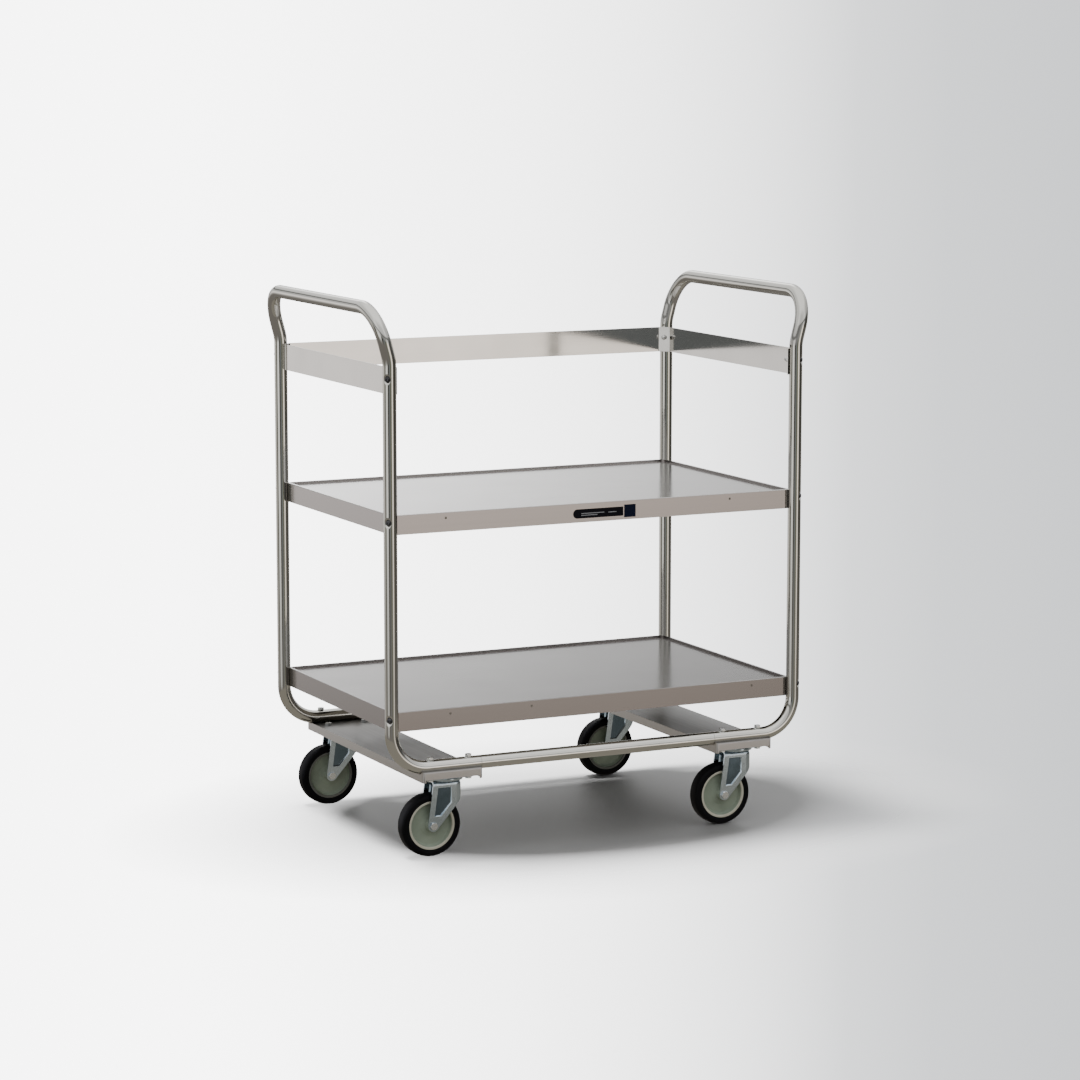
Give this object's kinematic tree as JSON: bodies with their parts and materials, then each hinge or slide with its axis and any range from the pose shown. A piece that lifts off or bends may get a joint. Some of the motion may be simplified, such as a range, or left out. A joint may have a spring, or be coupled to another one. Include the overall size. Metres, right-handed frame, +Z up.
{
  "type": "utility transport cart",
  "caption": "Stainless tubular transport cart with flat tray shelves, a guard rail open at the front, leaning push handles and swivel casters.",
  "frame": {"origin": "on the floor under the middle of the cart", "axes": "+X along the length towards the right end seen from the open front, +Y towards the guarded back, +Z up"},
  "size_m": [1.0382, 0.636, 1.1653],
  "materials": {
    "tube_stainless": "satin polished stainless tube",
    "shelf_stainless": "satin stainless sheet",
    "guard_stainless": "satin stainless strip",
    "bolster_stainless": "dull stainless pressing",
    "bolt_stainless": "bright stainless fastener",
    "bolt_zinc": "bright zinc plated fastener",
    "zinc_plate": "blue-white zinc plated steel",
    "inner_steel": "plain turned steel, hidden",
    "ball_steel": "bearing balls",
    "hub_plastic": "grey-olive moulded plastic",
    "tyre_rubber": "black solid rubber",
    "label_black": "black film plate",
    "label_blue": "dark blue film plate"
  },
  "bodies": {
    "cart_frame": {"left_end_frame": "tube_stainless", "right_end_frame": "tube_stainless", "front_base_tube": "tube_stainless", "rear_base_tube": "tube_stainless", "base_tube_sleeves": "inner_steel", "middle_shelf": "shelf_stainless", "bottom_shelf": "shelf_stainless", "middle_shelf_stiffeners": "shelf_stainless", "bottom_shelf_stiffeners": "shelf_stainless", "guard_rail": "guard_stainless", "guard_bolts": "bolt_stainless", "guard_cap_nuts": "bolt_stainless", "middle_shelf_bolts": "bolt_stainless", "middle_shelf_cap_nuts": "bolt_stainless", "bottom_shelf_bolts": "bolt_stainless", "bottom_shelf_cap_nuts": "bolt_stainless", "left_bolster": "bolster_stainless", "left_bolster_channels": "zinc_plate", "right_bolster": "bolster_stainless", "right_bolster_channels": "zinc_plate", "caster_tube_bolts": "bolt_zinc", "caster_deck_bolts": "bolt_zinc", "caster_nuts": "bolt_zinc", "front_left_caster_plate": "zinc_plate", "front_left_ball_race": "ball_steel", "front_left_kingpin": "zinc_plate", "rear_left_caster_plate": "zinc_plate", "rear_left_ball_race": "ball_steel", "rear_left_kingpin": "zinc_plate", "rear_right_caster_plate": "zinc_plate", "rear_right_ball_race": "ball_steel", "rear_right_kingpin": "zinc_plate", "front_right_caster_plate": "zinc_plate", "front_right_ball_race": "ball_steel", "front_right_kingpin": "zinc_plate", "label_bar": "label_black", "label_square": "label_blue"},
    "front_left_swivel": {"front_left_fork": "zinc_plate", "front_left_axle": "bolt_zinc", "front_left_bushing": "inner_steel"},
    "front_left_wheel": {"front_left_wheel_hub": "hub_plastic", "front_left_tyre": "tyre_rubber"},
    "rear_left_swivel": {"rear_left_fork": "zinc_plate", "rear_left_axle": "bolt_zinc", "rear_left_bushing": "inner_steel"},
    "rear_left_wheel": {"rear_left_wheel_hub": "hub_plastic", "rear_left_tyre": "tyre_rubber"},
    "rear_right_swivel": {"rear_right_fork": "zinc_plate", "rear_right_axle": "bolt_zinc", "rear_right_bushing": "inner_steel"},
    "rear_right_wheel": {"rear_right_wheel_hub": "hub_plastic", "rear_right_tyre": "tyre_rubber"},
    "front_right_swivel": {"front_right_fork": "zinc_plate", "front_right_axle": "bolt_zinc", "front_right_bushing": "inner_steel"},
    "front_right_wheel": {"front_right_wheel_hub": "hub_plastic", "front_right_tyre": "tyre_rubber"}
  },
  "joints": [
    {"name": "front_left_swivel_turn", "type": "hinge", "parent": "cart_frame", "child": "front_left_swivel", "pos_m": [-0.346, -0.2761, 0.161], "axis": [0, 0, 1], "continuous": true},
    {"name": "front_left_wheel_roll", "type": "hinge", "parent": "front_left_swivel", "child": "front_left_wheel", "pos_m": [-0.383, -0.2761, 0.067], "axis": [0, 1, 0], "continuous": true},
    {"name": "rear_left_swivel_turn", "type": "hinge", "parent": "cart_frame", "child": "rear_left_swivel", "pos_m": [-0.346, 0.2761, 0.161], "axis": [0, 0, 1], "continuous": true},
    {"name": "rear_left_wheel_roll", "type": "hinge", "parent": "rear_left_swivel", "child": "rear_left_wheel", "pos_m": [-0.383, 0.2761, 0.067], "axis": [0, 1, 0], "continuous": true},
    {"name": "rear_right_swivel_turn", "type": "hinge", "parent": "cart_frame", "child": "rear_right_swivel", "pos_m": [0.346, 0.2761, 0.161], "axis": [0, 0, 1], "continuous": true},
    {"name": "rear_right_wheel_roll", "type": "hinge", "parent": "rear_right_swivel", "child": "rear_right_wheel", "pos_m": [0.309, 0.2761, 0.067], "axis": [0, 1, 0], "continuous": true},
    {"name": "front_right_swivel_turn", "type": "hinge", "parent": "cart_frame", "child": "front_right_swivel", "pos_m": [0.346, -0.2761, 0.161], "axis": [0, 0, 1], "continuous": true},
    {"name": "front_right_wheel_roll", "type": "hinge", "parent": "front_right_swivel", "child": "front_right_wheel", "pos_m": [0.309, -0.2761, 0.067], "axis": [0, 1, 0], "continuous": true}
  ]
}
